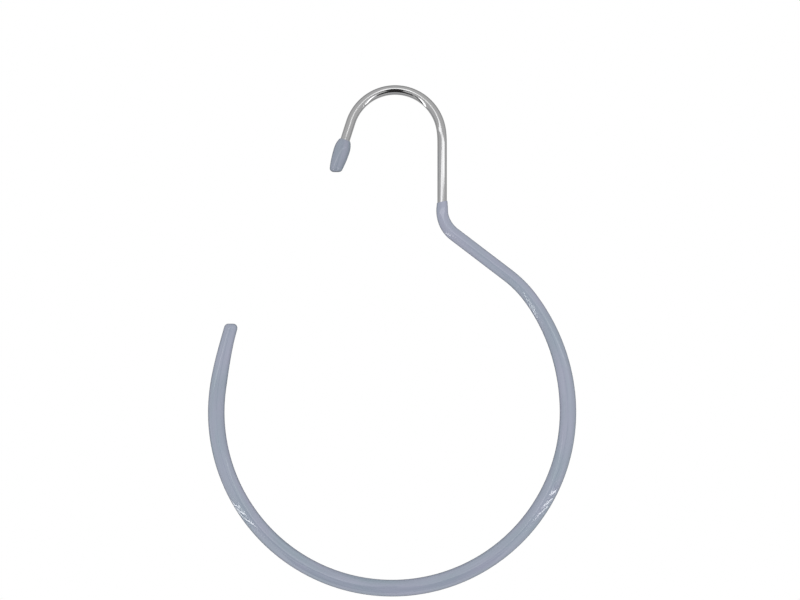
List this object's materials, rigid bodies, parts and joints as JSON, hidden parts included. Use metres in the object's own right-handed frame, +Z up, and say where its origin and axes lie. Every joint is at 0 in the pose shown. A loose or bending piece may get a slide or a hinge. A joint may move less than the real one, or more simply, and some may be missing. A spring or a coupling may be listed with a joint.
{
  "type": "scarf hanger",
  "caption": "Open-ring scarf hanger: one bent chrome-plated wire with a rail hook, a soft dipped coat on the ring and a dipped cap on the end of the hook.",
  "frame": {"origin": "the underside of the top of the hook, where the hanger rests on its rail", "axes": "+Z up, the rail along Y, +X from the hook's open side towards its stem; the hanger lies in the XZ plane"},
  "size_m": [0.1736, 0.0076, 0.2412],
  "materials": {
    "chrome_wire": "bright chrome plate on steel",
    "dipped_coat": "satin blue-grey dip-moulded soft vinyl"
  },
  "bodies": {
    "root": {"wire": "chrome_wire", "ring_sleeve": "dipped_coat", "hook_tip_cap": "dipped_coat"}
  },
  "joints": []
}
